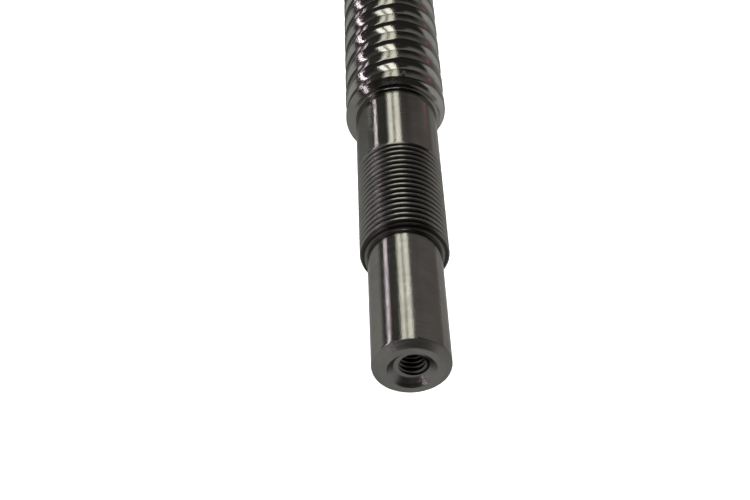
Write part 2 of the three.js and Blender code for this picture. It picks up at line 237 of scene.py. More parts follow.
def steel(
    name, color, dark, roughness, mark_pitch, mark_depth,
    facing=False, stain=0.5, grain_depth=0.002, painted_valley_shade=None,
):
    """Machined steel. Tool marks run round the axis: mark_pitch apart along it, or along the radius on a
    face. color and dark are the clean metal and where oil has dulled it; stain is how much of that shows.
    The last argument holds two radii in millimetres: painted shade, a third as bright as dark, darkens the
    thread at the first radius and fades out by the second."""
    n = Nodes(name)
    place = n.add("ShaderNodeTexCoord").outputs["Object"]
    split = n.add("ShaderNodeSeparateXYZ")
    n.link(place, split.inputs[0])
    x, y, z = split.outputs
    radius = n.maths("SQRT", n.maths("ADD", n.maths("MULTIPLY", x, x), n.maths("MULTIPLY", z, z)))
    across = radius if facing else y
    fine = n.combine(
        n.maths("MULTIPLY", x, MARKS_ROUND_AXIS),
        n.maths("MULTIPLY", across, 1 / (mark_pitch * MM)),
        n.maths("MULTIPLY", z, MARKS_ROUND_AXIS),
    )
    marks = n.noise(fine, 1, detail=3, roughness=0.65)
    grain = n.noise(place, GRAIN_SCALE, detail=3)
    blotches = n.noise(place, BLOTCH_SCALE, detail=4, roughness=0.6)
    scratches = scratch_lines(n, place)

    dulled = n.spread(blotches, 0.42, 0.72, 0, stain)
    metal = n.mix(n.spread(marks, 0.3, 0.7, 0, 1), tuple(c * 0.86 for c in color), color)
    toned = n.mix(dulled, metal, dark)
    # Painted shade in a thread's valleys: darker by radius, down to a third of dark, where the valleys fall
    # into shade.
    if painted_valley_shade:
        unshaded_share = n.spread(radius, painted_valley_shade[0] * MM, painted_valley_shade[1] * MM, 0, 1)
        toned = n.mix(unshaded_share, tuple(c * 0.3 for c in dark), toned)
    n.link(toned, n.shader.inputs["Base Color"])
    marked = n.spread(marks, 0.3, 0.7, roughness * 0.75, roughness * 1.3)
    rough = n.maths("ADD", marked, n.maths("MULTIPLY", dulled, 0.1))
    n.link(n.maths("ADD", rough, n.maths("MULTIPLY", scratches, 0.12)), n.shader.inputs["Roughness"])
    tooled = n.bump(marks, 0.8, mark_depth * MM)
    grained = n.bump(grain, 1, grain_depth * MM, tooled)
    n.link(n.bump(scratches, 0.5, -0.004 * MM, grained), n.shader.inputs["Normal"])
    n.shader.inputs["Metallic"].default_value = 1
    n.shader.inputs["Specular Tint"].default_value = (0.6, 0.6, 0.6, 1)
    return n.material


def scratch_lines(n, place):
    """A few thin handling scratches in two slanting directions, 1 on a scratch and 0 off it"""
    found = None
    for turn, stretch, level in ((0.6, 26, 0.752), (-1.1, 34, 0.758)):
        mapping = n.add("ShaderNodeMapping")
        n.link(place, mapping.inputs["Vector"])
        mapping.inputs["Rotation"].default_value = (turn, 0.3 * turn, turn)
        mapping.inputs["Scale"].default_value = (SCRATCH_SCALE, SCRATCH_SCALE * stretch, SCRATCH_SCALE)
        lines = n.noise(mapping.outputs[0], 1, detail=1)
        line = n.spread(lines, level, level + 0.03, 0, 1)
        found = line if found is None else n.maths("MAXIMUM", found, line)
    return found


def plain(name, color, roughness, metallic=0.0, grain_scale=4000, grain_depth=0.004, variation=0.15):
    """Moulded plastic or a treated metal: a fine even grain with slight changes of tone"""
    n = Nodes(name)
    place = n.add("ShaderNodeTexCoord").outputs["Object"]
    grain = n.noise(place, grain_scale, detail=2)
    tone = n.noise(place, 300, detail=3)
    n.link(
        n.mix(tone, tuple(c * (1 - variation) for c in color), tuple(c * (1 + variation) for c in color)),
        n.shader.inputs["Base Color"],
    )
    n.link(n.spread(tone, 0.3, 0.7, roughness * 0.85, roughness * 1.15), n.shader.inputs["Roughness"])
    n.link(n.bump(grain, 0.6, grain_depth * MM), n.shader.inputs["Normal"])
    n.shader.inputs["Metallic"].default_value = metallic
    return n.material


CLEAN = (0.31, 0.305, 0.28)
OILED = (0.17, 0.155, 0.145)
NUT_CLEAN = (0.5, 0.49, 0.47)
NUT_DULL = (0.33, 0.315, 0.3)
GROUND = steel("ground_steel", CLEAN, OILED, 0.12, 0.16, 0.0006, stain=0.3, grain_depth=0.013)
TURNED = steel("turned_steel", CLEAN, OILED, 0.13, 0.22, 0.0008, stain=0.4, grain_depth=0.017)
TRACK = steel(
    "ball_track_steel", (0.46, 0.455, 0.43), (0.3, 0.28, 0.26), 0.12, 0.3, 0.0004,
    stain=0.4, grain_depth=0.01,
)
# Painted shade darkens the valleys of the lock thread below a radius of 5.76 mm, fading out by 5.93 mm.
THREAD = steel(
    "lock_thread_steel", (0.31, 0.305, 0.285), (0.18, 0.17, 0.16), 0.29, 0.12, 0.002,
    stain=0.4, painted_valley_shade=(5.76, 5.93),
)
FACED = steel(
    "faced_steel", (0.27, 0.268, 0.255), (0.18, 0.17, 0.165), 0.38, 0.2, 0.007,
    facing=True, grain_depth=0.02,
)
CONE = steel("countersunk_steel", (0.27, 0.26, 0.255), (0.17, 0.16, 0.16), 0.3, 0.35, 0.012, facing=True)
MILLED = steel("milled_steel", (0.28, 0.27, 0.26), OILED, 0.25, 0.5, 0.003, facing=True)
DRILLED = steel("drilled_steel", (0.16, 0.155, 0.145), (0.06, 0.055, 0.05), 0.3, 0.18, 0.004, stain=0.7)
# Painted shade darkens the roots of the tapped thread at a radius of 2.0 mm, fading out towards the crests
# at 1.74 mm.
TAPPED = steel(
    "tapped_steel", (0.2, 0.19, 0.18), (0.04, 0.035, 0.03), 0.3, 0.12, 0.002,
    stain=0.3, painted_valley_shade=(2.0, 1.74),
)
NUT_GROUND = steel("nut_ground_steel", NUT_CLEAN, NUT_DULL, 0.16, 0.16, 0.0008, stain=0.4, grain_depth=0.008)
NUT_TURNED = steel("nut_turned_steel", NUT_CLEAN, NUT_DULL, 0.24, 0.25, 0.003, stain=0.4, grain_depth=0.008)
NUT_FACED = steel("nut_faced_steel", NUT_CLEAN, NUT_DULL, 0.3, 0.25, 0.006, facing=True)
NUT_MILLED = steel("nut_milled_steel", NUT_CLEAN, NUT_DULL, 0.26, 0.5, 0.003, facing=True)
SINTERED = steel("deflector_steel", (0.33, 0.31, 0.28), (0.2, 0.185, 0.17), 0.34, 0.5, 0.002)
BEARING = steel("ball_steel", (0.55, 0.55, 0.56), (0.4, 0.4, 0.4), 0.06, 0.8, 0.0002, stain=0.2)
PHOSPHATED = plain("phosphated_spring_steel", (0.06, 0.058, 0.06), 0.42, 0.9, 7000, 0.006)
ACETAL = plain("wiper_plastic", (0.03, 0.05, 0.06), 0.45)
BLACK_OXIDE = plain("black_oxide", (0.03, 0.03, 0.032), 0.36, 0.85, 6000, 0.004)


# ---------------------------------------------------------------- meshes
def y_at(station):
    return DRIVE_FACE_Y + station * MM


def about_axis(r, station, degrees):
    """The point at that radius and station, at that angle from the top towards +X"""
    angle = math.radians(degrees)
    return Vector((r * MM * math.sin(angle), y_at(station), r * MM * math.cos(angle)))


def piece_from(name, points, faces, zones, materials):
    mesh = bpy.data.meshes.new(name)
    mesh.from_pydata(points, [], faces)
    for material in materials:
        mesh.materials.append(material)
    mesh.polygons.foreach_set("material_index", np.asarray(zones, np.int32))
    piece = bpy.data.objects.new(name, mesh)
    bpy.context.scene.collection.objects.link(piece)
    return piece


def shade(piece, degrees=32):
    """Smooth shading, with hard edges where faces meet at more than that angle"""
    piece.data.polygons.foreach_set("use_smooth", [True] * len(piece.data.polygons))
    piece.data.set_sharp_from_angle(angle=math.radians(degrees))
    return piece


def towards(start, end, step=0.05):
    """A place that far from the start on the way to the end, or a third of the way if they are close"""
    length = math.hypot(end[0] - start[0], end[1] - start[1])
    share = min(step / max(length, 1e-9), 1 / 3)
    return [a + (b - a) * share for a, b in zip(start, end)]


class Outline:
    """Rows of [radius, station] along a piece's skin, swept round the axis. Each row carries the number of
    the material on the stretch that leads to it."""

    def __init__(self):
        self.parts = []
        self.zones = []
        self.last = None

    def to(self, zone, *points):
        """Straight stretches to fixed places, or to places that are functions of the turn. Each has a row
        close to either end, so that smooth shading stays within the small rounds beside it."""
        for point in points:
            at = point if callable(point) else lambda turn, point=point: point
            if self.last:
                self.row(zone, lambda turn, a=self.last, b=at: towards(a(turn), b(turn)))
                self.row(zone, lambda turn, a=self.last, b=at: towards(b(turn), a(turn)))
            self.row(zone, at)
            self.last = at
        return self

    def row(self, zone, at):
        self.parts.append(lambda turn: [at(turn)])
        self.zones.append(zone)

    def helix(self, start_at, end_at, pitch, start, form, limit=None, back=False):
        """A helical form between two stations. form holds [offset, radius, zone] over one pitch, and its
        line of zero offset crosses the top at the station start. back runs from the far end to the near."""
        offsets, radii, zones = np.array(form, float).T
        first = math.floor((start_at - start) / pitch) - 2
        numbers = np.arange(first, math.ceil((end_at - start) / pitch) + 3)

        def rows(turn):
            stations = (start + (numbers[:, None] + turn) * pitch + offsets).ravel()
            clamped = np.clip(stations, start_at, end_at)
            place = np.mod(clamped - start - pitch * turn - offsets[0], pitch) + offsets[0]
            at_ends = np.interp(place, np.append(offsets, offsets[0] + pitch), np.append(radii, radii[0]))
            found = np.where(clamped != stations, at_ends, np.tile(radii, len(numbers)))
            if limit is not None:
                found = np.minimum(found, limit(clamped))
            pairs = np.stack([found, clamped], -1)
            return (pairs[::-1] if back else pairs).tolist()

        self.parts.append(rows)
        self.zones.extend(np.tile(zones, len(numbers)).astype(int).tolist())
        self.last = None
        return self

    def sweep(self, name, materials, angles):
        """The closed piece. angles runs from 0 to a full turn; places that coincide are merged."""
        columns = np.array([[row for part in self.parts for row in part(a / TAU)] for a in angles])
        about = np.append(angles[:-1], angles[0])
        radius = columns[:, :, 0]
        places = np.stack(
            [radius * np.sin(about)[:, None], columns[:, :, 1], radius * np.cos(about)[:, None]], -1
        ).reshape(-1, 3)
        _, first, number = np.unique(np.round(places, 4), axis=0, return_index=True, return_inverse=True)
        number = number.reshape(columns.shape[:2])
        points = places[first] * MM + np.array([0, DRIVE_FACE_Y, 0])
        corners = np.stack([number[:-1, :-1], number[1:, :-1], number[1:, 1:], number[:-1, 1:]], -1)
        zones = np.tile(np.asarray(self.zones[1:]), len(angles) - 1)
        faces, kept = [], []
        for corner, zone in zip(corners.reshape(-1, 4).tolist(), zones.tolist()):
            loop = [v for i, v in enumerate(corner) if v != corner[i - 1]]
            if len(loop) > 2 and len(set(loop)) == len(loop):
                faces.append(loop)
                kept.append(zone)
        return piece_from(name, points.tolist(), faces, kept, materials)


def full_turn(sides, *extra_degrees):
    """Angles round a full turn, with extra ones where a corner needs them"""
    angles = np.linspace(0, TAU, sides + 1)
    return np.unique(np.append(angles, np.radians(extra_degrees)).round(9))


def track_form(circle_r, flank_r, open_r, outward, zone_track, zone_land, steps=5, lip=0.16):
    """The gothic ball track over one lead: two flanks that meet in a blunt point, and rounded lips at the
    radius open_r. outward is -1 for the screw, whose track opens away from the axis, and 1 for the nut."""
    shift = (flank_r - BALL_R) * math.sin(CONTACT_ANGLE)
    centre_r = circle_r - outward * (flank_r - BALL_R) * math.cos(CONTACT_ANGLE)
    to_lip = (open_r - lip * -outward) - centre_r
    end = math.acos(outward * to_lip / flank_r)
    start = math.asin(shift / flank_r)
    half = []
    for angle in np.linspace(start, end, steps + 1):
        radius = centre_r + outward * flank_r * math.cos(angle)
        half.append((flank_r * math.sin(angle) - shift, radius, zone_track))
    edge = half[-1][0]
    for along, deep in ((0.075, 0.37), (0.15, 0.1), (0.24, 0.0)):
        half.append((edge + along, open_r + outward * lip * deep, zone_land))
    mirrored = [(-offset, radius, zone) for offset, radius, zone in half[:0:-1]]
    return mirrored + half


def thread_form(outer_r, pitch, depth, zone):
    """A 60 degree thread over one pitch, its root at zero offset, with a rounded root and a broken crest"""
    flank_end = pitch * 0.385
    root_half = pitch * 0.06
    form = [(0, outer_r - depth, zone), (root_half, outer_r - depth * 0.95, zone)]
    form += [(flank_end - pitch * 0.03, outer_r - depth * 0.06, zone), (flank_end, outer_r, zone)]
    return [(-o, r, z) for o, r, z in form[:0:-1]] + form


def internal(form, inner_r, outer_r):
    """An external thread form between two radii turned into the internal one"""
    return [(offset, inner_r + outer_r - radius, zone) for offset, radius, zone in form]


SCREW_ZONES = (GROUND, TRACK, TURNED, THREAD, FACED, DRILLED, CONE, TAPPED)
Z_GROUND, Z_TRACK, Z_TURNED, Z_THREAD, Z_FACED, Z_DRILLED, Z_CONE, Z_TAPPED = range(8)


def screw_shaft():
    track = track_form(BALL_CIRCLE_R, TRACK_R, SCREW_R, -1, Z_TRACK, Z_GROUND)
    lock = thread_form(BEARING_R, LOCK_PITCH, LOCK_DEPTH, Z_THREAD)
    core = thread_form(CENTRE_ROOT_R, CENTRE_PITCH, CENTRE_ROOT_R - CENTRE_CORE_R, Z_TAPPED)
    core = internal(core, CENTRE_CORE_R, CENTRE_ROOT_R)
    chamfer_to = SHOULDER + SHOULDER_CHAMFER
    outline = Outline()
    outline.to(Z_DRILLED, (0, CENTRE_DRILL_TIP), (CENTRE_DRILL_R, CENTRE_DRILL_TO))
    outline.to(Z_DRILLED, (CENTRE_DRILL_R, CENTRE_THREAD_TO + 0.4))
    outline.helix(CENTRE_CONE_DEPTH, CENTRE_THREAD_TO, CENTRE_PITCH, 0, core, back=True)
    outline.to(Z_CONE, (CENTRE_ROOT_R, CENTRE_CONE_DEPTH))
    outline.to(Z_CONE, (CENTRE_MOUTH_R - 0.05, 0.06), (CENTRE_MOUTH_R + 0.03, 0))
    outline.to(Z_FACED, (3.9, 0), (4.02, 0.02))
    outline.to(Z_FACED, (4.88, 0.72), (4.97, 0.8))
    outline.to(Z_TURNED, (DRIVE_R, 0.95))
    outline.to(Z_TURNED, (DRIVE_R, DRIVE_END), (DRIVE_R + 0.03, DRIVE_END + 0.08))
    outline.to(Z_FACED, (BEARING_R - 0.65, DRIVE_END + 0.1))
    outline.helix(
        DRIVE_END + 0.1, DRIVE_END + 0.4, LOCK_PITCH, LOCK_THREAD_START, lock,
        limit=lambda s: BEARING_R - (DRIVE_END + 0.4 - s),
    )
    outline.helix(DRIVE_END + 0.4, LOCK_THREAD_END, LOCK_PITCH, LOCK_THREAD_START, lock)
    outline.to(Z_THREAD, (BEARING_R - 0.03, LOCK_THREAD_END + 0.25))
    outline.to(Z_GROUND, (BEARING_R, LOCK_THREAD_END + 0.4), (BEARING_R, SHOULDER - SHOULDER_FILLET))
    for angle in np.linspace(0.3, math.pi / 2, 5):
        rise = SHOULDER_FILLET * (1 - math.cos(angle))
        place = [BEARING_R + rise, SHOULDER - SHOULDER_FILLET * (1 - math.sin(angle))]
        outline.row(Z_GROUND, lambda turn, place=place: place)
    outline.helix(
        SHOULDER, chamfer_to, LEAD, GROOVE_CROSSES_TOP, track,
        limit=lambda s: SCREW_R - (chamfer_to - s),
    )
    outline.helix(chamfer_to, BALL_THREAD_END - 1, LEAD, GROOVE_CROSSES_TOP, track)
    outline.helix(
        BALL_THREAD_END - 1, BALL_THREAD_END, LEAD, GROOVE_CROSSES_TOP, track,
        limit=lambda s: SCREW_R - 0.8 * (s - BALL_THREAD_END + 1),
    )
    outline.to(Z_TURNED, (FLOATING_R - 0.1, BALL_THREAD_END), (FLOATING_R - 0.1, BALL_THREAD_END + 0.3))
    groove_r = FLOATING_R - CIRCLIP_GROOVE_DEPTH
    outline.to(Z_GROUND, (FLOATING_R, BALL_THREAD_END + 0.45), (FLOATING_R, CIRCLIP_GROOVE_FROM))
    outline.to(Z_TURNED, (groove_r, CIRCLIP_GROOVE_FROM), (groove_r, CIRCLIP_GROOVE_TO))
    outline.to(Z_TURNED, (FLOATING_R, CIRCLIP_GROOVE_TO), (FLOATING_R, SCREW_LENGTH - 0.8))
    outline.to(Z_TURNED, (FLOATING_R - 0.08, SCREW_LENGTH - 0.65), (4.05, SCREW_LENGTH))
    outline.to(Z_FACED, (2.65, SCREW_LENGTH))
    outline.to(Z_DRILLED, (1.25, SCREW_LENGTH - 2.4), (1.25, SCREW_LENGTH - 6), (0, SCREW_LENGTH - 6.7))
    piece = outline.sweep("screw_shaft_fine", SCREW_ZONES, full_turn(SCREW_SIDES))
    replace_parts(shade(piece, 40), "screw_shaft")
    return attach(piece, "screw")


def mesh_piece(name, bm, materials):
    """The piece that a bmesh holds, which is freed"""
    bmesh.ops.recalc_face_normals(bm, faces=bm.faces)
    mesh = bpy.data.meshes.new(name)
    bm.to_mesh(mesh)
    bm.free()
    for material in materials:
        mesh.materials.append(material)
    piece = bpy.data.objects.new(name, mesh)
    bpy.context.scene.collection.objects.link(piece)
    return piece


def stacked(name, rings, materials, place=Matrix.Identity(4), zones=None):
    """A closed solid from rings of equally many points in millimetres, capped at both ends"""
    bm = bmesh.new()
    rows = [[bm.verts.new(place @ (Vector(p) * MM)) for p in ring] for ring in rings]
    for number, (low, high) in enumerate(zip(rows, rows[1:])):
        for i, corner in enumerate(low):
            face = bm.faces.new((low[i - 1], corner, high[i], high[i - 1]))
            face.material_index = zones[number] if zones else 0
    bm.faces.new(rows[0])
    bm.faces.new(rows[-1][::-1])
    bmesh.ops.remove_doubles(bm, verts=bm.verts, dist=0.002 * MM)
    return mesh_piece(name, bm, materials)


def round_rows(rows, sides=48):
    """Rings for a turned solid from rows of [radius, height]. A radius may be a function of the angle."""
    rings = []
    for radius, height in rows:
        ring = []
        for angle in np.linspace(0, TAU, sides, endpoint=False):
            r = radius(angle) if callable(radius) else radius
            ring.append((r * math.cos(angle), r * math.sin(angle), height))
        rings.append(ring)
    return rings


def standing(x, station, z, along):
    """A place on the nut whose local Z points that way"""
    turn = Vector(along).to_track_quat("Z", "Y").to_matrix().to_4x4()
    return Matrix.Translation(Vector((x * MM, y_at(station), z * MM))) @ turn


def carve(piece, cutters):
    """Cuts each cutter out of the piece. The cut faces take the cutter's material."""
    for cutter in cutters:
        cut = piece.modifiers.new("cut", "BOOLEAN")
        cut.operation = "DIFFERENCE"
        cut.solver = "EXACT"
        cut.material_mode = "TRANSFER"
        cut.object = cutter
        depsgraph = bpy.context.evaluated_depsgraph_get()
        carved = bpy.data.meshes.new_from_object(piece.evaluated_get(depsgraph))
        piece.modifiers.remove(cut)
        old = piece.data
        piece.data = carved
        carved.name = piece.name
        bpy.data.meshes.remove(old)
        bpy.data.objects.remove(cutter)
    return piece


# ---- Return deflectors and balls ----
def return_place(circuit):
    """The middle of a circuit's deflector: its angle from the top in radians, and its station"""
    return TAU * circuit / CIRCUITS, FIRST_RETURN + circuit * LEAD * (1 + 1 / CIRCUITS)


def ball_path(circuit, degrees):
    """Where a ball's centre runs, degrees of screw after the deflector's middle"""
    angle, station = return_place(circuit)
    along = station + LEAD * (degrees / 360 - 0.5)
    r = BALL_CIRCLE_R
    if degrees > 360 - RETURN_HALF_ANGLE:
        t = (degrees - 360 + RETURN_HALF_ANGLE) / (2 * RETURN_HALF_ANGLE)
        leave = station + LEAD * ((360 - RETURN_HALF_ANGLE) / 360 - 0.5)
        arrive = station + LEAD * (RETURN_HALF_ANGLE / 360 - 0.5)
        along = leave + (arrive - leave) * ease(t)
        r += RETURN_LIFT * ease(min(t, 1 - t) / 0.3)
    about = angle + math.radians(degrees)
    return Vector((r * math.sin(about), along, r * math.cos(about)))


def ease(t):
    t = min(max(t, 0), 1)
    return t * t * (3 - 2 * t)


RETURN_ACROSS = BALL_CIRCLE_R * 1.15 * math.sin(math.radians(RETURN_HALF_ANGLE))
RETURN_ALONG = LEAD * (0.5 - RETURN_HALF_ANGLE / 360)
RETURN_HALF_LENGTH = math.hypot(RETURN_ACROSS, RETURN_ALONG)
RETURN_SLANT = math.atan2(RETURN_ALONG, RETURN_ACROSS)


def return_frame(circuit):
    """Local X runs along a deflector's long side and local Z out along its radius"""
    angle, station = return_place(circuit)
    place = Matrix.Translation(Vector((0, y_at(station), 0)))
    return place @ Matrix.Rotation(angle, 4, "Y") @ Matrix.Rotation(-RETURN_SLANT, 4, "Z")


def obround(radius, height, steps=20):
    """A ring with two round ends, in a deflector's frame. height may be a function of the place across
    the axis."""
    ring = []
    for side in (1, -1):
        for angle in np.linspace(-math.pi / 2, math.pi / 2, steps + 1):
            u = side * (RETURN_HALF_LENGTH + radius * math.cos(angle))
            v = side * radius * math.sin(angle)
            across = u * math.cos(RETURN_SLANT) + v * math.sin(RETURN_SLANT)
            ring.append((u, v, height(across) if callable(height) else height))
    return ring


def on_cylinder(r, least=0.0):
    return lambda across: max(least, math.sqrt(max(r * r - across * across, 0)))


def deflector(circuit):
    radius = WINDOW_R - DEFLECTOR_GAP
    top_r = BARREL_R - BARREL_RELIEF - 0.1
    inside = on_cylinder(BALL_CIRCLE_R + 0.4, 5)
    rings = [obround(radius * share, inside) for share in (0.01, 0.35, 0.7, 1)]
    rings.append(obround(radius, on_cylinder(top_r - 0.3)))
    rings.append(obround(radius - 0.08, on_cylinder(top_r - 0.1)))
    rings.append(obround(radius - 0.28, on_cylinder(top_r)))
    rings.append(obround(radius - 0.75, on_cylinder(top_r)))
    rings.append(obround(radius - 0.87, on_cylinder(top_r - 0.1)))
    rings += [obround((radius - 0.95) * share, on_cylinder(top_r - 0.13)) for share in (1, 0.66, 0.33, 0.01)]
    block = stacked(f"deflector_{circuit + 1}_fine", rings, [SINTERED], return_frame(circuit))
    reach = RETURN_HALF_ANGLE + 34
    path = []
    for t in np.linspace(-1, 1, 33):
        degrees = 360 + reach * t
        path.append(ball_path(circuit, degrees if degrees <= 360 + RETURN_HALF_ANGLE else degrees - 360))
    channel = []
    for i, centre in enumerate(path):
        ahead = (path[min(i + 1, 32)] - path[max(i - 1, 0)]).normalized()
        out = Vector((centre.x, 0, centre.z)).normalized()
        side = ahead.cross(out).normalized()
        out = side.cross(ahead)
        ring = []
        for angle in np.linspace(0, TAU, 24, endpoint=False):
            ring.append(centre + CHANNEL_R * (math.cos(angle) * out + math.sin(angle) * side))
        channel.append(ring)
    at_drive_face = Matrix.Translation(Vector((0, DRIVE_FACE_Y, 0)))
    carve(block, [stacked("channel", channel, [SINTERED], at_drive_face)])
    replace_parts(shade(block, 35), f"deflector_{circuit + 1}")
    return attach(block, "nut")


def balls(circuit):
    """One circuit's balls as a single piece"""
    nodes = [f"ball_{circuit + 1}_{number:02d}" for number in range(1, BALLS_PER_CIRCUIT + 1)]
    bm = bmesh.new()
    for node in nodes:
        low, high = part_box(node)
        place = Matrix.Translation((low + high) / 2)
        bmesh.ops.create_icosphere(bm, subdivisions=4, radius=BALL_R * MM, matrix=place)
    piece = mesh_piece(f"balls_{circuit + 1}_fine", bm, [BEARING])
    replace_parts(shade(piece), *nodes)
    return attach(piece, "nut")


# ---- Nut ----
NUT_ZONES = (NUT_GROUND, NUT_TURNED, NUT_FACED, TRACK, DRILLED, NUT_MILLED)
N_GROUND, N_TURNED, N_FACED, N_TRACK, N_DRILLED, N_MILLED = range(6)


def flange_edge(inset, station):
    """The flange's outline, a circle with an upper and a lower flat, drawn in by inset"""
    def at(turn):
        reach = (FLAT_HEIGHT - inset) / max(abs(math.cos(TAU * turn)), 0.01)
        return [min(FLANGE_R - inset, reach), station]
    return at


def seat_rows(face, into):
    """The wiper's seat and the ring's groove, from the nut's end face at that station inwards"""
    to = RING_GROOVE_FROM + RING_GROOVE_WIDTH
    return [
        (WIPER_SEAT_R + 0.35, face),
        (WIPER_SEAT_R, face + into * 0.35),
        (WIPER_SEAT_R, face + into * (RING_GROOVE_FROM - 0.06)),
        (WIPER_SEAT_R + 0.06, face + into * RING_GROOVE_FROM),
        (RING_GROOVE_R, face + into * RING_GROOVE_FROM),
        (RING_GROOVE_R, face + into * to),
        (WIPER_SEAT_R + 0.06, face + into * to),
        (WIPER_SEAT_R, face + into * (to + 0.06)),
        (WIPER_SEAT_R, face + into * (WIPER_SEAT_DEPTH - 0.2)),
        (WIPER_SEAT_R - 0.2, face + into * WIPER_SEAT_DEPTH),
    ]


def nut_body():
    track = track_form(BALL_CIRCLE_R, NUT_TRACK_R, NUT_LAND_R, 1, N_TRACK, N_GROUND, lip=0.12)
    relieved = BARREL_R - BARREL_RELIEF
    seats_from = NUT_FROM + WIPER_SEAT_DEPTH
    seats_to = NUT_TO - WIPER_SEAT_DEPTH
    near = seat_rows(NUT_FROM, 1)
    far = seat_rows(NUT_TO, -1)
    outline = Outline()
    outline.to(N_TURNED, *near[::-1])
    outline.to(N_FACED, flange_edge(0.4, NUT_FROM))
    outline.to(N_TURNED, flange_edge(0.12, NUT_FROM + 0.12), flange_edge(0, NUT_FROM + 0.4))
    outline.to(N_TURNED, flange_edge(0, FLANGE_TO - 0.4), flange_edge(0.12, FLANGE_TO - 0.12))
    outline.to(N_TURNED, flange_edge(0.4, FLANGE_TO))
    outline.to(N_FACED, (BARREL_R + 0.5, FLANGE_TO))
    outline.to(N_TURNED, (BARREL_R + 0.15, FLANGE_TO + 0.1), (BARREL_R, FLANGE_TO + 0.5))
    outline.to(N_GROUND, (BARREL_R, PILOT_TO - 0.1), (BARREL_R - 0.06, PILOT_TO))
    outline.to(N_TURNED, (relieved, PILOT_TO + 0.25), (relieved, NUT_TO - 0.95))
    outline.to(N_TURNED, (relieved - 0.1, NUT_TO - 0.7), (relieved - 0.7, NUT_TO - 0.1))
    outline.to(N_FACED, (relieved - 0.95, NUT_TO))
    outline.to(N_FACED, far[0])
    outline.to(N_TURNED, *far[1:])
    outline.to(N_FACED, (NUT_LAND_R + 0.5, seats_to))
    outline.helix(seats_from, seats_to, LEAD, GROOVE_CROSSES_TOP, track, back=True)
    outline.to(N_FACED, (NUT_LAND_R + 0.5, seats_from), near[-1])
    corner = math.degrees(math.acos(FLAT_HEIGHT / FLANGE_R))
    corners = [corner, 180 - corner, 180 + corner, 360 - corner]
    piece = outline.sweep("nut_body_fine", NUT_ZONES, full_turn(NUT_SIDES, *corners))
    for face in piece.data.polygons:
        if abs(abs(face.center.z) - FLAT_HEIGHT * MM) < 0.02 * MM:
            face.material_index = N_MILLED

    cutters = []
    for circuit in range(CIRCUITS):
        deep = [obround(WINDOW_R, 5), obround(WINDOW_R, on_cylinder(relieved - 0.12))]
        open_top = [obround(WINDOW_R + 0.14, on_cylinder(relieved + 0.02)), obround(WINDOW_R + 0.14, 16)]
        cutters.append(stacked("window", deep + open_top, [MILLED], return_frame(circuit)))
    hole = [(0.01, -1), (BOLT_HOLE_R + 0.3, -1), (BOLT_HOLE_R + 0.3, 0), (BOLT_HOLE_R, 0.3)]
    thick = FLANGE_TO - NUT_FROM
    hole += [(BOLT_HOLE_R, thick - 0.3), (BOLT_HOLE_R + 0.3, thick)]
    hole += [(BOLT_HOLE_R + 0.3, thick + 1), (0.01, thick + 1)]
    for degrees in BOLT_ANGLES:
        place = about_axis(BOLT_CIRCLE_R, 0, degrees) / MM
        at = standing(place.x, NUT_FROM, place.z, (0, 1, 0))
        cutters.append(stacked("bolt_hole", round_rows(hole), [DRILLED], at))
    middle = (NUT_FROM + FLANGE_TO) / 2
    port = [(0.01, PORT_FLOOR - 1.3), (PORT_R, PORT_FLOOR), (PORT_R, FLAT_HEIGHT - 0.4)]
    port += [(PORT_R + 0.5, FLAT_HEIGHT + 0.1), (0.01, FLAT_HEIGHT + 0.1)]
    cutters.append(stacked("port", round_rows(port), [DRILLED], standing(0, middle, 0, (0, 0, 1))))
    inner = Vector((0, seats_from + 2.6, 6.5))
    entry = Vector((0, middle, PORT_FLOOR + 0.8))
    duct = round_rows([(DUCT_R, 0), (DUCT_R, (entry - inner).length)], 20)
    cutters.append(stacked("duct", duct, [DRILLED], standing(0, inner.y, inner.z, entry - inner)))
    carve(piece, cutters)
    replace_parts(shade(piece, 30), "nut_body")
    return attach(piece, "nut")


# ---- Wipers, retaining rings and plug ----
def wiper(end, at):
    """A moulded ring with a lip that runs in the screw's track, and a shallow groove in each face"""
    half = math.radians(53)
    lip = [(-1.12, NUT_LAND_R, 0), (-0.95, 7.82, 0)]
    lip += [(math.sin(a) * 0.95, 7.9 - 0.95 * math.cos(a), 0) for a in np.linspace(-half, half, 7)]
    lip += [(0.95, 7.82, 0), (1.12, NUT_LAND_R, 0)]
    to = at + WIPER_WIDTH
    ridge = [(WIPER_R - 0.25, 0), (9.55, 0), (9.45, 0.35), (8.75, 0.35), (8.65, 0), (NUT_LAND_R + 0.1, 0)]
    outline = Outline()
    outline.to(0, *[(r, at + deep) for r, deep in ridge[::-1]])
    outline.to(0, (WIPER_R, at + 0.25), (WIPER_R, to - 0.25))
    outline.to(0, *[(r, to - deep) for r, deep in ridge])
    outline.helix(at, to, LEAD, GROOVE_CROSSES_TOP, lip, back=True)
    outline.to(0, (NUT_LAND_R + 0.1, at))
    piece = outline.sweep(f"wiper_{end}_fine", [ACETAL], full_turn(SCREW_SIDES))
    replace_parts(shade(piece, 35), f"wiper_{end}")
    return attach(piece, "nut")


